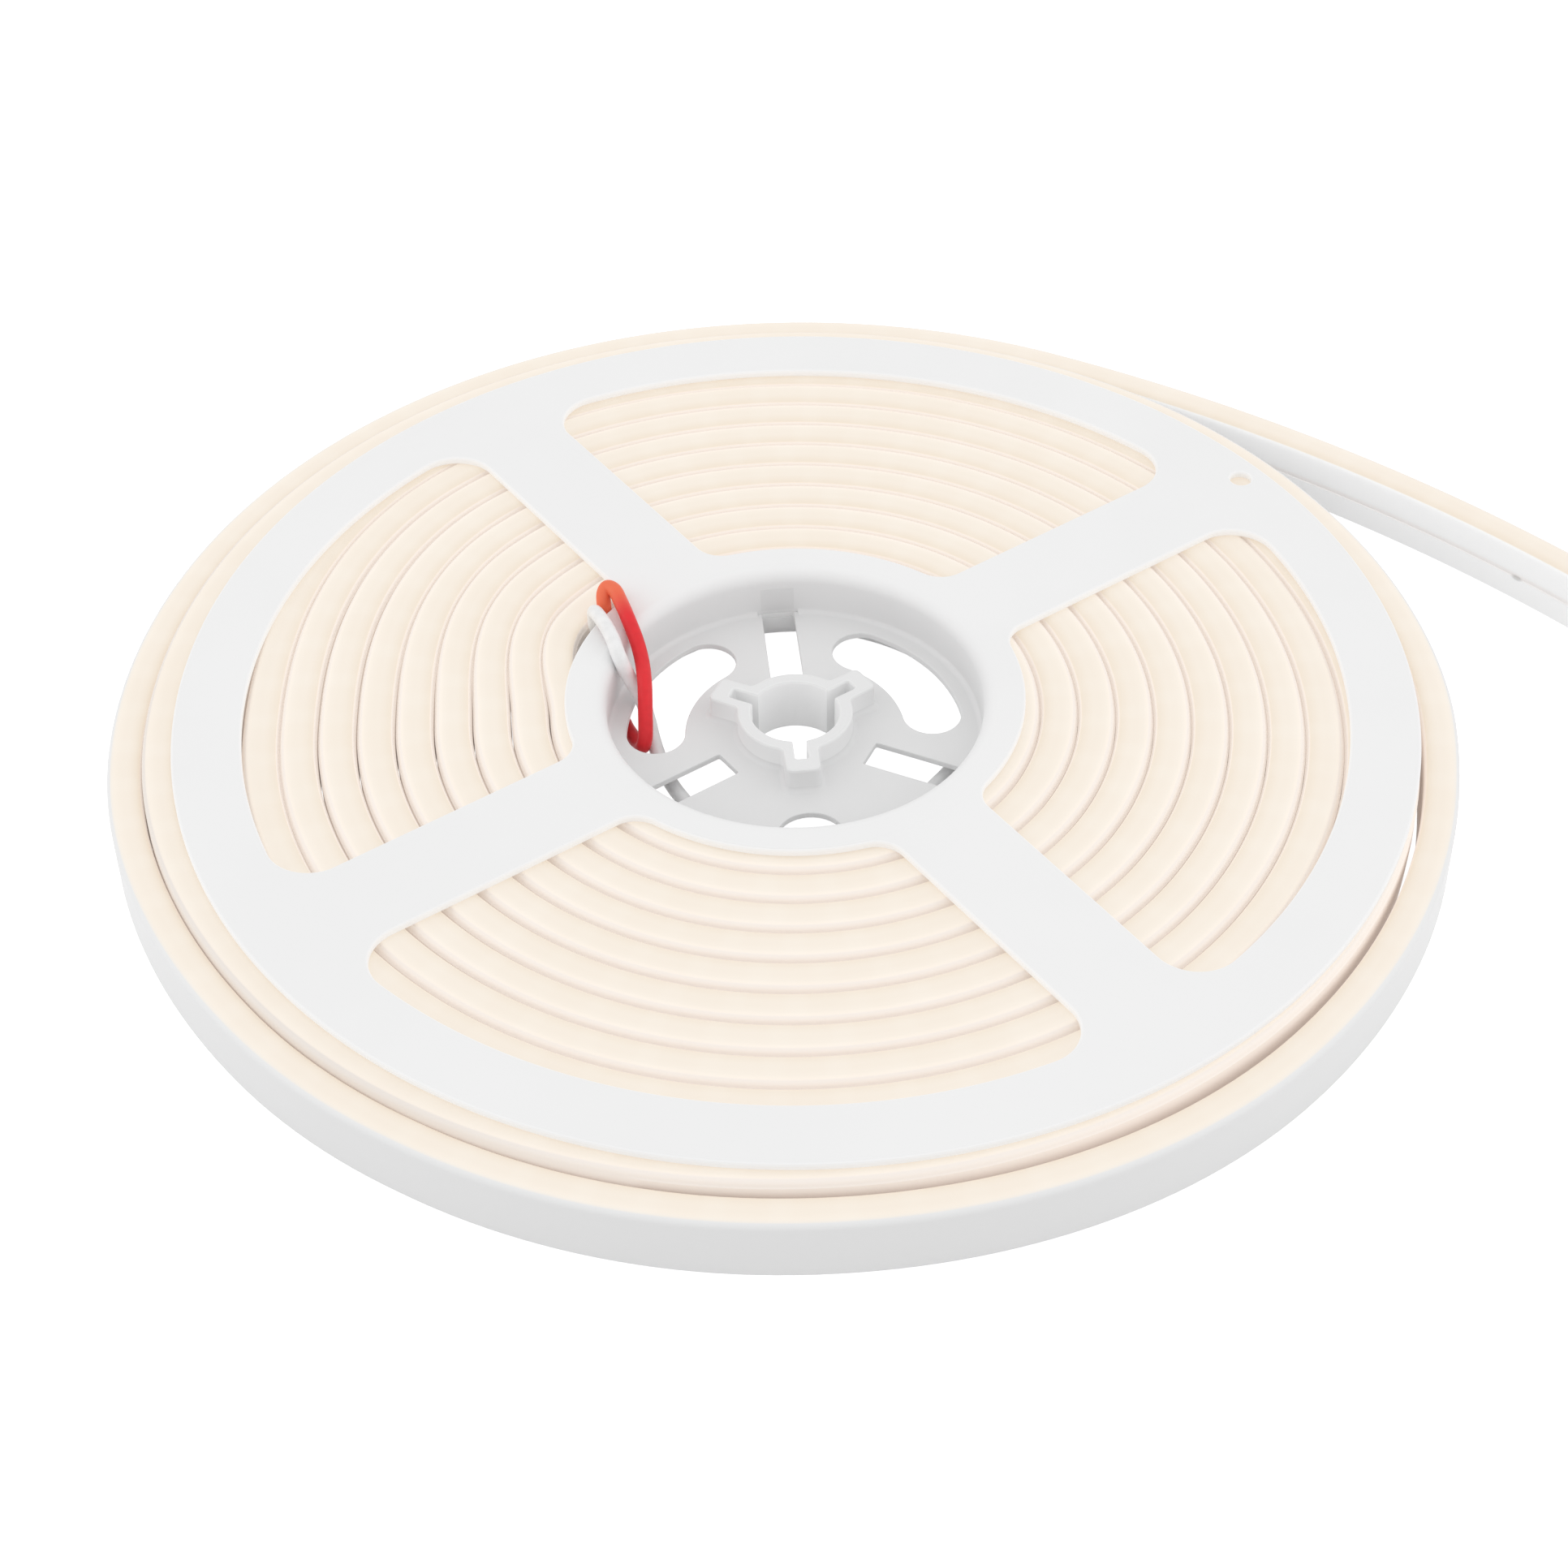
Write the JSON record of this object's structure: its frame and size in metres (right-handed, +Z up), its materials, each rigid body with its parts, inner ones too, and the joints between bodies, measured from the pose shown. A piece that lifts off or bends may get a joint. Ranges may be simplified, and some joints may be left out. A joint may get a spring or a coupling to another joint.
{
  "type": "led neon flex reel",
  "caption": "Flat white two-flange plastic reel wound with cream LED neon flex, its outer end led off as a tail and a red and a white lead in the hub.",
  "frame": {"origin": "middle of the footprint of the reel and its tail, on the surface that the reel lies on", "axes": "+Z up through the reel's flanges, +X along the footprint's long way to the tail's end, +Y away from the viewer"},
  "size_m": [0.2314, 0.1964, 0.0163],
  "materials": {
    "reel_plastic": "smooth white moulded plastic",
    "flex_silicone": "white opaque sides with a cream translucent top",
    "cap_silicone": "white moulded silicone",
    "red_insulation": "smooth red insulation",
    "white_insulation": "smooth white insulation"
  },
  "bodies": {
    "root": {"upper_flange": "reel_plastic", "lower_flange": "reel_plastic", "neon_flex": "flex_silicone", "lead_end_cap": "cap_silicone", "tail_end_cap": "cap_silicone", "red_lead": "red_insulation", "white_lead": "white_insulation"}
  },
  "joints": []
}
